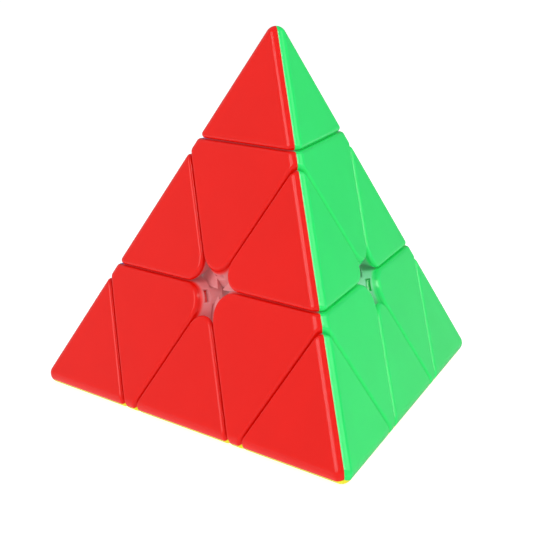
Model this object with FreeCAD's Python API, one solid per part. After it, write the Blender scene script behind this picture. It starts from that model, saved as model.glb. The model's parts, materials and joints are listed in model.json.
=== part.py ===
import FreeCAD, Part
import math
import os
from FreeCAD import Placement, Rotation, Vector

# A pyramid twisty puzzle: a regular tetrahedron cut into four tips, four corners and six edges that
# turn about a central core. The origin is the centre of the core, where the four turning axes cross.
# +Z runs up through the top vertex, so the puzzle rests on its lower face. Millimetres throughout.

# Overall size
edge_length = 104.4        # of the sharp tetrahedron; 98 mm over the rounded vertices
edge_round = 2.2           # rounding of the six long edges and four vertices
height = edge_length * math.sqrt(2 / 3)
face_dist = height / 4     # origin to each outer face

# The cuts, as distances from the origin along a turning axis
tip_cut = 35.86
layer_cut = 7.41
cut_gap = 0.2              # between the side walls of neighbouring pieces
rim_round = 0.8            # rounding around every coloured face
corner_nose_round = 5.4    # rounding of the piece corners that meet at the centre of a face
edge_nose_round = 4.4

# Coloured shells
plate_thick = 0.9
peg_radius = 1.5
peg_depth = 5.0
piece_reach = edge_length / (3 * math.sqrt(3))   # face centre to the middle of a piece's triangle

# Clips of the corner shells, which run down behind the noses and show in windows there
clip_set_back = 0.9        # from the wall of the nose
clip_thick = 1.2
clip_width = 3.6
clip_depth = 5.4           # depths below the outer face
window_width = 3.0
window_top = 1.7
window_bottom = 2.7

# Mechanism: a layer reaches further down its axis in each deeper zone, so that its feet are held
# under its neighbours
shell_gap = 0.2            # half the clearance between sliding spheres
neck_top = 18.4            # above this radius the pieces are cut by the outer layer cut
foot_top = 13.8
core_radius = 9.7
neck_cut = 6.4             # the layer cut between the two radii above
foot_cut = 4.6             # the layer cut between the core and the tops of the feet
root_radius = 5.5
foot_radius = 9.0

# Core, screws and springs
post_radius = 4.0
post_top = 16.0
bearing_gap = 0.1
ledge_bottom = 16.2
ledge_top = 17.7
ledge_hole_radius = 1.9
cup_radius = 3.9
screw_radius = 1.45
screw_hole_radius = 1.5
screw_start = 6.0
screw_head_radius = 3.0
screw_head_bottom = 27.0
screw_head_height = 2.2
screw_head_chamfer = 0.4
slot_width = 0.9
slot_length = 4.2
slot_depth = 1.2
washer_thick = 0.5
washer_radius = 3.5
washer_hole_radius = 1.6
spring_radius = 2.8
spring_wire_radius = 0.35
spring_turns = 4.5
spring_steps = 20          # straight lengths of wire in a turn
spring_clearance = 0.1

# Snap post that carries a tip
snap_radius = 4.9
snap_top = tip_cut + 5.0
bead_height = 0.35
bead_bottom = tip_cut + 3.5
bead_top = tip_cut + 4.5
bead_gap = 0.2
hub_top = tip_cut + 9.5
hub_socket_top = snap_top + 0.3

# Disc magnets in the edges, facing the corners
magnet_radius = 2.0
magnet_thick = 2.0
magnet_wall = 0.5
magnet_reach = 27.0        # origin to magnet, along the edge's own radial direction

far = 200.0


def turning_axis(azimuth):
    """A unit vector from the origin to one of the three lower vertices."""
    spread = 2 * math.sqrt(2) / 3
    angle = math.radians(azimuth)
    return Vector(spread * math.cos(angle), spread * math.sin(angle), -1 / 3)


axes = {
    "top": Vector(0, 0, 1),
    "left": turning_axis(210),
    "front": turning_axis(330),
    "right": turning_axis(90),
}
# Each face is opposite one vertex.
face_colours = {"right": "red", "left": "green", "top": "yellow", "front": "blue"}
edge_pairs = [("top", "left"), ("top", "front"), ("top", "right"),
              ("left", "front"), ("front", "right"), ("right", "left")]

# Every kind of piece is drawn once, in these directions, and turned to its other places.
A = axes["top"]
B = axes["left"]
C = axes["front"]
D = axes["right"]


# ---------------------------------------------------------------- basic solids

def slab(normal, low, high):
    """All that lies between two distances along a direction."""
    block = Part.makeBox(2 * far, 2 * far, high - low, Vector(-far, -far, low))
    block.Placement = Placement(Vector(), Rotation(Vector(0, 0, 1), normal))
    return block


def above(normal, low):
    return slab(normal, low, far)


def below(normal, high):
    return slab(normal, -far, high)


def tetrahedron(face_distance):
    solid = above(A, -face_distance)
    for axis in (B, C, D):
        solid = solid.common(above(axis, -face_distance))
    return solid


def rounded_tetrahedron(depth):
    """The puzzle's outside, or the same surface at a depth below it."""
    sharp = tetrahedron(face_dist - depth)
    return sharp.makeFillet(edge_round - depth, sharp.Edges)


def ball(radius):
    return Part.makeSphere(radius)


def cap(axis, radius, low):
    """What a ball about the origin has beyond a distance along an axis."""
    return Part.makeSphere(radius, Vector(), axis, math.degrees(math.asin(low / radius)), 90)


def rod(axis, radius, low, high):
    return Part.makeCylinder(radius, high - low, axis * low, axis)


def tube(axis, radius, hole_radius, low, high):
    return rod(axis, radius, low, high).cut(rod(axis, hole_radius, low - 1, high + 1))


def join(solids):
    return solids[0].multiFuse(solids[1:]).removeSplitter()


def cut_all(solid, tools):
    for tool in tools:
        solid = solid.cut(tool)
    return solid


def box_in(x_axis, y_axis, z_axis, x_range, y_range, z_range):
    """A box given by its ranges along three perpendicular directions."""
    block = Part.makeBox(x_range[1] - x_range[0], y_range[1] - y_range[0], z_range[1] - z_range[0],
                         Vector(x_range[0], y_range[0], z_range[0]))
    block.Placement = Placement(Vector(), Rotation(x_axis, y_axis, z_axis, "ZXY"))
    return block


# ---------------------------------------------------------------- rounding

def is_outer_face(face):
    """True for the flat faces, long roundings and vertex roundings of the whole puzzle."""
    surface = face.Surface
    if isinstance(surface, (Part.Cylinder, Part.Sphere)):
        return abs(surface.Radius - edge_round) < 1e-6
    if isinstance(surface, Part.Plane):
        centre = face.CenterOfMass
        return any(abs(-axis.dot(centre) - face_dist) < 1e-4 for axis in (A, B, C, D))
    return False


def rim_edges(solid):
    """The edges between the puzzle's outside and the piece's side walls."""
    rims = []
    for edge in solid.Edges:
        faces = solid.ancestorsOfType(edge, Part.Face)
        if len(faces) == 2 and is_outer_face(faces[0]) != is_outer_face(faces[1]):
            rims.append(edge)
    return rims


def ridge_edges(solid, first, second, distance):
    """The edge along which two layer cuts meet."""
    ridges = []
    for edge in solid.Edges:
        middle = edge.valueAt((edge.FirstParameter + edge.LastParameter) / 2)
        if abs(first.dot(middle) - distance) < 1e-5 and abs(second.dot(middle) - distance) < 1e-5:
            ridges.append(edge)
    return ridges


# ---------------------------------------------------------------- the outer block of each kind of piece

def tip_block():
    return rounded_tetrahedron(0).common(above(A, tip_cut + cut_gap / 2))


def corner_block():
    low = layer_cut - cut_gap / 2
    block = rounded_tetrahedron(0).common(slab(A, 0, tip_cut - cut_gap / 2))
    for axis in (B, C, D):
        block = block.common(below(axis, low))
    noses = []
    for first, second in ((B, C), (C, D), (D, B)):
        noses += ridge_edges(block, first, second, low)
    return block.makeFillet(corner_nose_round, noses)


def edge_block():
    high = layer_cut + cut_gap / 2
    block = rounded_tetrahedron(0).common(above(A, high)).common(above(B, high))
    return block.makeFillet(edge_nose_round, ridge_edges(block, A, B, high))


def with_round_rims(block):
    return block.makeFillet(rim_round, rim_edges(block))


# ---------------------------------------------------------------- directions on the face opposite "right"

face_out = D * -1


def across_face(direction):
    """The unit direction in the face that points most nearly along the one given."""
    flat = direction - face_out * face_out.dot(direction)
    return flat.normalize()


def face_sector(solid):
    """The part of a solid nearer to the face opposite D than to any other face."""
    for axis in (A, B, C):
        solid = solid.common(above(axis - D, 0))
    return solid


def peg(reach, toward, radius, depth):
    """A peg under a shell, at the middle of the piece's triangle on that face."""
    foot = across_face(toward) * reach
    return rod(face_out, radius, face_dist - depth, face_dist - plate_thick).translated(foot)


def coloured_shell(block, extras):
    shell = face_sector(block).cut(rounded_tetrahedron(plate_thick))
    return join([shell] + extras)


def inner_body(block):
    """What is left of a piece's block under its coloured shells."""
    return block.common(rounded_tetrahedron(plate_thick))


def three_about_top(solid):
    return [solid.rotated(Vector(), A, 120 * turn) for turn in range(3)]


# ---------------------------------------------------------------- tips

def make_tip():
    block = with_round_rims(tip_block())
    tip_peg = peg(2 * piece_reach, A, peg_radius, peg_depth)
    shell = coloured_shell(block, [tip_peg])
    hub = inner_body(block).common(below(A, hub_top))
    socket = join([
        rod(A, snap_radius + bearing_gap, tip_cut, hub_socket_top),
        rod(A, snap_radius + bead_height + bearing_gap, bead_bottom - bead_gap, bead_top + bead_gap),
    ])
    hub = cut_all(hub, [socket] + three_about_top(tip_peg))
    return hub, shell


# ---------------------------------------------------------------- corners

def behind_nose(low, high, width, top, bottom):
    """A block behind the top corner's nose, between two depths below the face."""
    into = A + D
    nose = corner_nose_round * (math.sqrt(3) - 1) - 2 * (layer_cut - cut_gap / 2) / into.Length
    block = box_in(into.normalize(), (A - D).cross(into), A - D, (nose + low, nose + high),
                   (-width / 2, width / 2), (0, far))
    return block.common(slab(face_out, face_dist - bottom, face_dist - top))


def make_clip():
    return behind_nose(clip_set_back, clip_set_back + clip_thick, clip_width, plate_thick, clip_depth)


def make_window():
    return behind_nose(-far, clip_set_back, window_width, window_top, window_bottom)


def edge_magnet(toward, offset):
    """A disc near the layer cut of one end of the edge between A and B."""
    other = B if toward == A else A
    radial = (A + B).normalize()
    along = (toward - other).normalize()
    depth = layer_cut + cut_gap / 2 + magnet_wall + magnet_thick / 2
    shift = (other.dot(radial) * magnet_reach - depth) / -other.dot(along)
    centre = radial * magnet_reach + along * shift + other * offset
    return Part.makeCylinder(magnet_radius, magnet_thick, centre - other * (magnet_thick / 2), other)


def corner_magnet_seats():
    """Seats in the top corner, each facing the magnet of a neighbouring edge."""
    offset = -(cut_gap + 2 * magnet_wall + magnet_thick)
    return three_about_top(edge_magnet(A, offset))


def kept_in_own_layer(solid):
    """What a solid may keep of itself to turn about the A axis."""
    solid = solid.common(above(A, foot_cut + cut_gap / 2))
    for radius, cut in ((foot_top, neck_cut), (neck_top, layer_cut)):
        solid = solid.cut(below(A, cut + cut_gap / 2).cut(ball(radius - shell_gap)))
    return solid


def clear_of_layer(solid, axis):
    """What a solid may keep of itself so that the layer of another axis turns past it."""
    for radius, cut in ((foot_top, foot_cut), (neck_top, neck_cut)):
        solid = solid.cut(cap(axis, radius + shell_gap, cut - cut_gap / 2))
    return solid


def make_corner():
    block = with_round_rims(corner_block())
    corner_peg = peg(piece_reach, A, peg_radius, peg_depth)
    clip = make_clip()
    shell = coloured_shell(block, [corner_peg, clip])

    frame = kept_in_own_layer(inner_body(block))
    for axis in (B, C, D):
        frame = clear_of_layer(frame, axis)
    frame = frame.cut(ball(core_radius + shell_gap))
    post = join([
        rod(A, snap_radius, tip_cut - 2, snap_top),
        rod(A, snap_radius + bead_height, bead_bottom, bead_top),
    ])
    frame = join([frame, post])
    bores = [
        rod(A, post_radius + bearing_gap, 0, ledge_bottom),
        rod(A, ledge_hole_radius, 0, ledge_top + 1),
        rod(A, cup_radius, ledge_top, snap_top + 1),
    ]
    sockets = []
    for hollow in (corner_peg, clip, make_window()):
        sockets += three_about_top(hollow)
    return cut_all(frame, bores + sockets + corner_magnet_seats()), shell


# ---------------------------------------------------------------- edges

def swap_ends(solid):
    """A half turn about the radial direction of the edge between A and B."""
    return solid.rotated(Vector(), A + B, 180)


def make_edge():
    block = with_round_rims(edge_block())
    edge_peg = peg(piece_reach, A + B, peg_radius, peg_depth)
    shell = coloured_shell(block, [edge_peg])

    frame = inner_body(block).cut(ball(neck_top + shell_gap))
    radial = (A + B).normalize()
    root = rod(radial, root_radius, 0, neck_top + 2)
    neck = ball(neck_top - shell_gap)
    foot = rod(radial, foot_radius, 0, far).common(ball(foot_top - shell_gap))
    for axis in (A, B):
        root = root.common(above(axis, layer_cut + cut_gap / 2))
        neck = neck.common(above(axis, neck_cut + cut_gap / 2))
        foot = foot.common(above(axis, foot_cut + cut_gap / 2))
    frame = join([frame, root, neck, foot]).cut(ball(core_radius + shell_gap))
    magnets = [edge_magnet(A, 0), edge_magnet(B, 0)]
    frame = cut_all(frame, [edge_peg, swap_ends(edge_peg)] + magnets)
    return frame, shell, Part.makeCompound(magnets)


# ---------------------------------------------------------------- core

def make_core():
    core = join([ball(core_radius - shell_gap)] + [rod(axis, post_radius, 0, post_top)
                                                   for axis in axes.values()])
    return cut_all(core, [rod(axis, screw_hole_radius, screw_start - 1, post_top + 1)
                          for axis in axes.values()])


def make_screw():
    """A cross-head screw along +Z."""
    head_top = screw_head_bottom + screw_head_height
    head = rod(A, screw_head_radius, screw_head_bottom, head_top)
    top_edges = [edge for edge in head.Edges
                 if edge.BoundBox.ZMin > head_top - 0.01]
    head = head.makeChamfer(screw_head_chamfer, top_edges)
    for length, width in ((slot_length, slot_width), (slot_width, slot_length)):
        head = head.cut(Part.makeBox(length, width, slot_depth + 1,
                                     Vector(-length / 2, -width / 2, head_top - slot_depth)))
    return join([rod(A, screw_radius, screw_start, screw_head_bottom + 0.5), head])


def make_spring():
    """A coil spring about +Z, between the corner's ledge and the washer."""
    low = ledge_top + spring_clearance + spring_wire_radius
    high = screw_head_bottom - washer_thick - spring_clearance - spring_wire_radius
    steps = int(spring_turns * spring_steps)
    points = []
    for step in range(steps + 1):
        angle = 2 * math.pi * step / spring_steps
        points.append(Vector(spring_radius * math.cos(angle), spring_radius * math.sin(angle),
                             low + (high - low) * step / steps))
    section = Part.Wire(Part.Circle(points[0], points[1] - points[0], spring_wire_radius).toShape())
    return Part.makePolygon(points).makePipeShell([section], True, False, 1)


def make_washer():
    return tube(A, washer_radius, washer_hole_radius, screw_head_bottom - washer_thick, screw_head_bottom)


# ---------------------------------------------------------------- places

def turn_to(first_from, second_from, first_to, second_to):
    """The turn that carries one pair of directions onto another."""
    start = Rotation(first_from, second_from, Vector(), "XYZ")
    finish = Rotation(first_to, second_to, Vector(), "XYZ")
    return finish.multiply(start.inverted())


def placed(solid, rotation):
    copy = solid.copy()
    copy.Placement = Placement(Vector(), rotation).multiply(solid.Placement)
    return copy


def on_every_axis(solid):
    turns = [Rotation(A, axis) for axis in axes.values()]
    return Part.makeCompound([placed(solid, turn) for turn in turns])


def save(name, shape):
    shape.exportStep(os.path.join("parts", name + ".step"))


def save_corners_and_tips():
    hub, tip_shell = make_tip()
    frame, corner_shell = make_corner()
    for place, axis in axes.items():
        opposite_faces = [other for other in axes if other != place]
        seat = turn_to(A, D, axis, axes[opposite_faces[0]])
        save("tip_" + place + "_hub", placed(hub, seat))
        save("corner_" + place + "_frame", placed(frame, seat))
        for opposite in opposite_faces:
            turn = turn_to(A, D, axis, axes[opposite])
            save("tip_" + place + "_" + face_colours[opposite], placed(tip_shell, turn))
            save("corner_" + place + "_" + face_colours[opposite], placed(corner_shell, turn))


def save_edges():
    frame, shell, magnets = make_edge()
    for first, second in edge_pairs:
        name = "edge_" + first + "_" + second
        turn = turn_to(A, B, axes[first], axes[second])
        save(name + "_frame", placed(frame, turn))
        save(name + "_magnets", placed(magnets, turn))
        for start, end in ((first, second), (second, first)):
            turn = turn_to(A, B, axes[start], axes[end])
            behind = turn.multVec(D)
            opposite = max(axes, key=lambda place: axes[place].dot(behind))
            save(name + "_" + face_colours[opposite], placed(shell, turn))


def save_core():
    save("core_body", make_core())
    save("core_screws", on_every_axis(make_screw()))
    save("core_springs", on_every_axis(make_spring()))
    save("core_washers", on_every_axis(make_washer()))


os.makedirs("parts", exist_ok=True)
save_core()
save_corners_and_tips()
save_edges()
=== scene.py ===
import json
import math

import bmesh
import bpy
from mathutils import Matrix, Vector


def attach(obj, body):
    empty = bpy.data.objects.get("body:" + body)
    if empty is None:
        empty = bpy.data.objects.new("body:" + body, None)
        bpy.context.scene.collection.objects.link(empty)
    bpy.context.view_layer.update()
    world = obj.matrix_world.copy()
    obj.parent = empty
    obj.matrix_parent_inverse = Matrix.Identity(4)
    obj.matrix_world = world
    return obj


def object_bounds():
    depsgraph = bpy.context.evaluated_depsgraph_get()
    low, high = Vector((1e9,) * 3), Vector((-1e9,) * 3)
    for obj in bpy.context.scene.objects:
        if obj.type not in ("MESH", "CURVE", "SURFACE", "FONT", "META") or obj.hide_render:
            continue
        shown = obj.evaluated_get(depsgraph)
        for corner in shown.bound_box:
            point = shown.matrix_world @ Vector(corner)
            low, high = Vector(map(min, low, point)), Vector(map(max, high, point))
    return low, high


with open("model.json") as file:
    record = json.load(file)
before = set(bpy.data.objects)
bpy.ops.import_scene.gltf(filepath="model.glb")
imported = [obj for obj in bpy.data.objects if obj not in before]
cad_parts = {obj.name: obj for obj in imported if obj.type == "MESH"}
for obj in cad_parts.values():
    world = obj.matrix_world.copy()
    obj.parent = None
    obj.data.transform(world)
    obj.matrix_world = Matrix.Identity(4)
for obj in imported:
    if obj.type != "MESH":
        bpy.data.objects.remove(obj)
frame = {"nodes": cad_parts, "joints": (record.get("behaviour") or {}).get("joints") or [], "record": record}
cad_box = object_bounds()

MM = 0.001

# Camera, fitted to the photo: azimuth 0 looks along +Y, 90 along -X
CAMERA_AZIMUTH = 48.92
CAMERA_ELEVATION = 14.065
CAMERA_ROLL = -1.313
CAMERA_DISTANCE = 0.3473
CAMERA_LENS = 108.8
CAMERA_SHIFT = (-0.0293, 0.0725)
SENSOR_WIDTH = 36.0
CLIP_START = 0.01
CLIP_END = 20.0

# Corner magnets, which face the magnets of the edges across the layer cut
MAGNET_RADIUS = 2.0 * MM
MAGNET_THICK = 2.0 * MM
MAGNET_ROUND = 0.25 * MM
MAGNET_STEP = 3.2 * MM
MAGNET_SIDES = 48
MAGNET_ROUND_STEPS = 3
LEVEL_TOLERANCE = 1e-7

# Studio: a floor that glows, and a room that is dimmer toward one side
FLOOR_SIZE = 6.0
FLOOR_COLOUR = (0.50, 0.50, 0.50)
FLOOR_GLOW = 0.80
ROOM_LIGHT = 0.50
DIM_LIGHT = 0.16
DIM_DIRECTION = (191, 3)
DIM_SPREAD = (0.0, 0.85)
# Below the horizon the gloss mirrors this in place of the floor.
SHEEN_LIGHT = 0.20
SHEEN_HEIGHTS = (-0.09, 0.05)
UP = (0.0, 0.0, 1.0)
WHITE = (1.0, 1.0, 1.0, 1.0)

# Linear colours of the moulded shells
SHELL_COLOURS = {
    "red": (0.78, 0.0075, 0.0035),
    "green": (0.024, 0.76, 0.160),
    "blue": (0.006, 0.100, 0.70),
    "yellow": (0.82, 0.78, 0.016),
}
CORE_COLOUR = (0.84, 0.84, 0.83)
FROSTED_COLOUR = (0.74, 0.73, 0.72)
# Painted light: colours painted into the frosted plastic near each face, standing in for the light that the
# shells pass and throw back.
PAINTED_BOUNCE_TINTS = {
    "red": (0.70, 0.22, 0.23),
    "green": (0.19, 0.60, 0.32),
    "blue": (0.22, 0.32, 0.76),
    "yellow": (0.76, 0.73, 0.26),
}
# Distances are from the centre toward a face; the strongest painted light lies right under a shell, where
# the shell's own colour is painted on as bled light.
PAINTED_BOUNCE_FROM = 7.0 * MM
PAINTED_BOUNCE_TO = 19.5 * MM
PAINTED_BLEED_FROM = 19.5 * MM
PAINTED_BLEED_TO = 20.3 * MM
NEAREST_BLEND = 0.4 * MM
# Strengths of the painted glow, emission standing in for light through the shells: deep inside, and right
# under a shell.
PAINTED_EMISSION_DEEP = 0.12
PAINTED_EMISSION_UNDER = 0.14
FACE_OPPOSITE = {"red": "right", "green": "left", "blue": "front", "yellow": "top"}

corner_axes = {joint["child"]: Vector(joint["axis"]).normalized()
               for joint in frame["joints"] if joint["child"].startswith("corner_")}


def direction_from(azimuth, elevation):
    """From the origin toward a viewer at these angles, in degrees."""
    turn = math.radians(azimuth)
    rise = math.radians(elevation)
    return Vector((math.sin(turn) * math.cos(rise),
                   -math.cos(turn) * math.cos(rise),
                   math.sin(rise)))


# ---------------------------------------------------------------- material helpers

def new_material(name):
    material = bpy.data.materials.new(name)
    material.use_nodes = True
    tree = material.node_tree
    return material, tree, tree.nodes["Principled BSDF"]


def set_inputs(node, **inputs):
    """Set a node's sockets, named with underscores for spaces."""
    for socket, value in inputs.items():
        node.inputs[socket.replace("_", " ")].default_value = value


def add_node(tree, kind, **inputs):
    node = tree.nodes.new(kind)
    set_inputs(node, **inputs)
    return node


def object_noise(tree, scale, detail):
    """Noise in the model's own space, so that it stays on a piece that turns."""
    coordinates = tree.nodes.new("ShaderNodeTexCoord")
    noise = add_node(tree, "ShaderNodeTexNoise", Scale=scale, Detail=detail)
    tree.links.new(coordinates.outputs["Object"], noise.inputs["Vector"])
    return noise.outputs["Fac"]


def remap(tree, value, low, high):
    """Stretch a noise value evenly over low to high."""
    ramp = add_node(tree, "ShaderNodeMapRange", To_Min=low, To_Max=high)
    tree.links.new(value, ramp.inputs["Value"])
    return ramp.outputs["Result"]


def fade(tree, value, start, end, low=0.0, high=1.0):
    """Smoothly from low, where the value is start or less, to high, where it is end or more."""
    ramp = add_node(tree, "ShaderNodeMapRange",
                    From_Min=start, From_Max=end, To_Min=low, To_Max=high)
    ramp.interpolation_type = "SMOOTHSTEP"
    tree.links.new(value, ramp.inputs["Value"])
    return ramp.outputs["Result"]


def math_node(tree, operation, first, second):
    node = tree.nodes.new("ShaderNodeMath")
    node.operation = operation
    tree.links.new(first, node.inputs[0])
    tree.links.new(second, node.inputs[1])
    return node.outputs["Value"]


def highest(tree, values):
    """The largest of several node values."""
    result = values[0]
    for value in values[1:]:
        result = math_node(tree, "MAXIMUM", result, value)
    return result


def along(tree, coordinates, direction, space="Object"):
    """Distance of a point from the origin along a direction."""
    dot = tree.nodes.new("ShaderNodeVectorMath")
    dot.operation = "DOT_PRODUCT"
    dot.inputs[1].default_value = direction
    tree.links.new(coordinates.outputs[space], dot.inputs[0])
    return dot.outputs["Value"]


def tinted(colour, factor=1.0):
    return tuple(min(1.0, channel * factor) for channel in colour) + (1.0,)


def vary_colour(tree, shader, colour, value, darker, lighter):
    """Let the base colour wander between a darker and a lighter shade."""
    mix = tree.nodes.new("ShaderNodeMix")
    mix.data_type = "RGBA"
    mix.inputs["A"].default_value = tinted(colour, darker)
    mix.inputs["B"].default_value = tinted(colour, lighter)
    tree.links.new(value, mix.inputs["Factor"])
    tree.links.new(mix.outputs["Result"], shader.inputs["Base Color"])
    return mix.outputs["Result"]


def mix_colour(tree, factor, first, colour):
    """From the first colour to a fixed one, by a factor."""
    mix = tree.nodes.new("ShaderNodeMix")
    mix.data_type = "RGBA"
    mix.inputs["B"].default_value = tinted(colour)
    tree.links.new(factor, mix.inputs["Factor"])
    tree.links.new(first, mix.inputs["A"])
    return mix.outputs["Result"]


def add_bump(tree, shader, height, strength, distance):
    bump = add_node(tree, "ShaderNodeBump", Strength=strength, Distance=distance)
    tree.links.new(height, bump.inputs["Height"])
    tree.links.new(bump.outputs["Normal"], shader.inputs["Normal"])


# ---------------------------------------------------------------- materials

def shell_material(name, colour):
    """Satin moulded plastic: a faint flow mottle, uneven gloss and a very fine moulded texture."""
    material, tree, shader = new_material(name)
    # Light spreads furthest inside the plastic in its own colour.
    spread = tuple(0.3 + 0.7 * channel for channel in colour)
    set_inputs(shader, IOR=1.5, Specular_IOR_Level=0.32, Subsurface_Weight=0.25,
               Subsurface_Radius=spread, Subsurface_Scale=1.2 * MM)
    mottle = object_noise(tree, scale=70.0, detail=3.0)
    vary_colour(tree, shader, colour, mottle, darker=0.95, lighter=1.04)
    gloss = object_noise(tree, scale=240.0, detail=4.0)
    tree.links.new(remap(tree, gloss, low=0.13, high=0.20), shader.inputs["Roughness"])
    texture = object_noise(tree, scale=5200.0, detail=2.0)
    add_bump(tree, shader, texture, strength=0.12, distance=0.02 * MM)
    return material


def inner_plastic_material():
    """Frosted white plastic with painted light: a painted tint near each face and a painted glow, emission
    standing in for light that comes through the shells.
    """
    material, tree, shader = new_material("frosted_inner_plastic")
    set_inputs(shader, IOR=1.49, Specular_IOR_Level=0.35, Subsurface_Weight=0.6,
               Subsurface_Radius=(1.0, 0.9, 0.85), Subsurface_Scale=2.5 * MM)
    mottle = object_noise(tree, scale=160.0, detail=3.0)
    result = vary_colour(tree, shader, FROSTED_COLOUR, mottle, darker=0.95, lighter=1.03)
    coordinates = tree.nodes.new("ShaderNodeTexCoord")
    reach = {colour: along(tree, coordinates, -corner_axes["corner_" + opposite])
             for colour, opposite in FACE_OPPOSITE.items()}
    # Painted light for each face: a painted tint deep under the face, then the shell's own colour painted on
    # right under the shell.
    for colour, tint in PAINTED_BOUNCE_TINTS.items():
        others = highest(tree, [reach[other] for other in reach if other != colour])
        lead = math_node(tree, "SUBTRACT", reach[colour], others)
        nearest = fade(tree, lead, -NEAREST_BLEND, NEAREST_BLEND)
        painted_tint_reach = fade(tree, reach[colour], PAINTED_BOUNCE_FROM, PAINTED_BOUNCE_TO)
        painted_bleed = fade(tree, reach[colour], PAINTED_BLEED_FROM, PAINTED_BLEED_TO)
        result = mix_colour(tree, math_node(tree, "MULTIPLY", nearest, painted_tint_reach), result, tint)
        result = mix_colour(tree, math_node(tree, "MULTIPLY", nearest, painted_bleed), result,
                            SHELL_COLOURS[colour])
    tree.links.new(result, shader.inputs["Base Color"])
    # Painted glow: the frosted plastic emits its own painted colour, a little stronger right under a shell.
    tree.links.new(result, shader.inputs["Emission Color"])
    furthest = highest(tree, list(reach.values()))
    glow = fade(tree, furthest, PAINTED_BLEED_FROM, PAINTED_BLEED_TO, PAINTED_EMISSION_DEEP, PAINTED_EMISSION_UNDER)
    tree.links.new(glow, shader.inputs["Emission Strength"])
    gloss = object_noise(tree, scale=420.0, detail=4.0)
    tree.links.new(remap(tree, gloss, low=0.34, high=0.5), shader.inputs["Roughness"])
    texture = object_noise(tree, scale=3800.0, detail=3.0)
    add_bump(tree, shader, texture, strength=0.25, distance=0.03 * MM)
    return material


def core_material():
    material, tree, shader = new_material("core_plastic")
    mottle = object_noise(tree, scale=120.0, detail=2.0)
    vary_colour(tree, shader, CORE_COLOUR, mottle, darker=0.94, lighter=1.03)
    gloss = object_noise(tree, scale=300.0, detail=3.0)
    tree.links.new(remap(tree, gloss, low=0.36, high=0.5), shader.inputs["Roughness"])
    texture = object_noise(tree, scale=2600.0, detail=2.0)
    add_bump(tree, shader, texture, strength=0.2, distance=0.03 * MM)
    return material


def metal_material(name, colour, rough_low, rough_high, grain_scale):
    material, tree, shader = new_material(name)
    set_inputs(shader, Metallic=1.0)
    mottle = object_noise(tree, scale=grain_scale / 4, detail=3.0)
    vary_colour(tree, shader, colour, mottle, darker=0.9, lighter=1.05)
    grain = object_noise(tree, scale=grain_scale, detail=5.0)
    tree.links.new(remap(tree, grain, rough_low, rough_high), shader.inputs["Roughness"])
    add_bump(tree, shader, grain, strength=0.1, distance=0.02 * MM)
    return material


def floor_material():
    material, tree, shader = new_material("studio_floor")
    mottle = object_noise(tree, scale=3.0, detail=2.0)
    vary_colour(tree, shader, FLOOR_COLOUR, mottle, darker=0.99, lighter=1.01)
    set_inputs(shader, Roughness=0.8, Specular_IOR_Level=0.1,
               Emission_Color=WHITE, Emission_Strength=FLOOR_GLOW)
    return material


materials = {colour + "_plastic": shell_material(colour + "_shell_plastic", SHELL_COLOURS[colour])
             for colour in SHELL_COLOURS}
materials["inner_plastic"] = inner_plastic_material()
materials["core_plastic"] = core_material()
materials["screw_steel"] = metal_material("zinc_plated_steel", colour=(0.62, 0.62, 0.60),
                                          rough_low=0.22, rough_high=0.4, grain_scale=900.0)
materials["spring_steel"] = metal_material("drawn_spring_steel", colour=(0.52, 0.52, 0.54),
                                           rough_low=0.2, rough_high=0.34, grain_scale=1500.0)
materials["washer_steel"] = metal_material("stamped_steel", colour=(0.66, 0.66, 0.67),
                                           rough_low=0.25, rough_high=0.45, grain_scale=700.0)
materials["magnet_metal"] = metal_material("nickel_plating", colour=(0.74, 0.72, 0.69),
                                           rough_low=0.08, rough_high=0.18, grain_scale=500.0)


# ---------------------------------------------------------------- CAD nodes

def dress_cad_nodes():
    slots = {part["node"]: part["material_slot"] for part in frame["record"]["subparts"]}
    for name, node in frame["nodes"].items():
        node.data.materials.clear()
        node.data.materials.append(materials[slots[name]])


# ---------------------------------------------------------------- corner magnets

def disc_mesh(name):
    """A disc along Z with rounded rims."""
    shape = bmesh.new()
    bmesh.ops.create_cone(shape, cap_ends=True, segments=MAGNET_SIDES,
                          radius1=MAGNET_RADIUS, radius2=MAGNET_RADIUS, depth=MAGNET_THICK)
    rims = [edge for edge in shape.edges
            if abs(edge.verts[0].co.z - edge.verts[1].co.z) < LEVEL_TOLERANCE]
    bmesh.ops.bevel(shape, geom=rims, offset=MAGNET_ROUND, segments=MAGNET_ROUND_STEPS,
                    profile=0.5, affect="EDGES")
    mesh = bpy.data.meshes.new(name)
    shape.to_mesh(mesh)
    shape.free()
    mesh.shade_smooth()
    return mesh


def middle_of(points):
    low = Vector(min(point[i] for point in points) for i in range(3))
    high = Vector(max(point[i] for point in points) for i in range(3))
    return (low + high) / 2


def add_corner_magnet(name, near, other, edge_points):
    """A disc in the near corner, across the other corner's layer cut from the edge's magnet."""
    axis = corner_axes["corner_" + other]
    toward = corner_axes["corner_" + near] - axis
    points = [point for point in edge_points if point.dot(toward) > 0]
    disc = bpy.data.objects.new(name, disc_mesh(name))
    bpy.context.scene.collection.objects.link(disc)
    place = Matrix.Translation(middle_of(points) - axis * MAGNET_STEP)
    disc.data.transform(place @ axis.to_track_quat("Z", "Y").to_matrix().to_4x4())
    disc.data.materials.append(materials["magnet_metal"])
    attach(disc, "corner_" + near)


def add_corner_magnets():
    for name in sorted(frame["nodes"]):
        if name.endswith("_magnets"):
            first, second = name.split("_")[1:3]
            points = [vertex.co.copy() for vertex in frame["nodes"][name].data.vertices]
            for near, other in ((first, second), (second, first)):
                add_corner_magnet("corner_" + near + "_magnet_by_" + other, near, other, points)


# ---------------------------------------------------------------- studio

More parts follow.
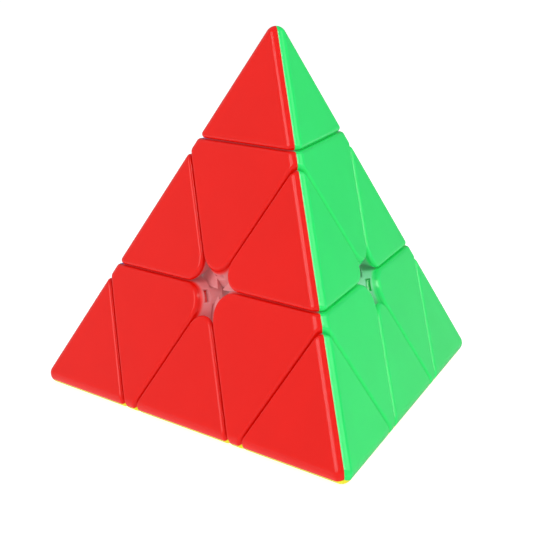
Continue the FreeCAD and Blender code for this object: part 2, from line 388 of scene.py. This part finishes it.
def add_floor():
    """A pale floor, hidden from the shells' gloss so that they keep their colour seen edge-on."""
    mesh = bpy.data.meshes.new("floor")
    half = FLOOR_SIZE / 2
    level = cad_box[0][2]
    corners = [(-half, -half, level), (half, -half, level),
               (half, half, level), (-half, half, level)]
    mesh.from_pydata(corners, [], [(0, 1, 2, 3)])
    floor = bpy.data.objects.new("floor", mesh)
    bpy.context.scene.collection.objects.link(floor)
    floor.data.materials.append(floor_material())
    floor.visible_glossy = False


def add_world():
    """A white room, dimmer behind the puzzle, where the green face mirrors it."""
    world = bpy.data.worlds.new("studio")
    world.use_nodes = True
    tree = world.node_tree
    background = tree.nodes["Background"]
    background.inputs["Color"].default_value = WHITE
    coordinates = tree.nodes.new("ShaderNodeTexCoord")
    behind = along(tree, coordinates, direction_from(*DIM_DIRECTION), "Generated")
    height = along(tree, coordinates, UP, "Generated")
    room = fade(tree, behind, DIM_SPREAD[0], DIM_SPREAD[1], ROOM_LIGHT, DIM_LIGHT)
    sheen = fade(tree, height, SHEEN_HEIGHTS[0], SHEEN_HEIGHTS[1], SHEEN_LIGHT, 0.0)
    tree.links.new(math_node(tree, "ADD", room, sheen), background.inputs["Strength"])
    bpy.context.scene.world = world


def add_softbox(name, azimuth, elevation, width, height, radiance):
    """A light a metre away, aimed at the origin; its angles are measured as the camera's are."""
    data = bpy.data.lights.new(name, "AREA")
    data.shape = "RECTANGLE"
    data.size = width
    data.size_y = height
    data.energy = radiance * math.pi * width * height
    lamp = bpy.data.objects.new(name, data)
    bpy.context.scene.collection.objects.link(lamp)
    back = direction_from(azimuth, elevation)
    lamp.matrix_world = Matrix.Translation(back) @ back.to_track_quat("Z", "Y").to_matrix().to_4x4()


def add_camera():
    data = bpy.data.cameras.new("camera")
    data.lens = CAMERA_LENS
    data.sensor_width = SENSOR_WIDTH
    data.shift_x, data.shift_y = CAMERA_SHIFT
    data.clip_start = CLIP_START
    data.clip_end = CLIP_END
    camera = bpy.data.objects.new("camera", data)
    bpy.context.scene.collection.objects.link(camera)
    back = direction_from(CAMERA_AZIMUTH, CAMERA_ELEVATION)
    level_right = Vector(UP).cross(back).normalized()
    level_up = back.cross(level_right)
    roll = math.radians(CAMERA_ROLL)
    right = level_right * math.cos(roll) + level_up * math.sin(roll)
    up = level_up * math.cos(roll) - level_right * math.sin(roll)
    turn = Matrix((right, up, back)).transposed().to_4x4()
    camera.matrix_world = Matrix.Translation(back * CAMERA_DISTANCE) @ turn
    bpy.context.scene.camera = camera


add_camera()
dress_cad_nodes()
add_corner_magnets()
add_floor()
add_world()
add_softbox("left_strip", azimuth=348, elevation=32, width=0.48, height=0.7, radiance=3.0)
add_softbox("right_key", azimuth=90, elevation=52, width=0.28, height=0.5, radiance=7.5)
add_softbox("right_fill", azimuth=130, elevation=32, width=0.6, height=0.6, radiance=2.2)
bpy.context.scene.view_settings.view_transform = "Standard"
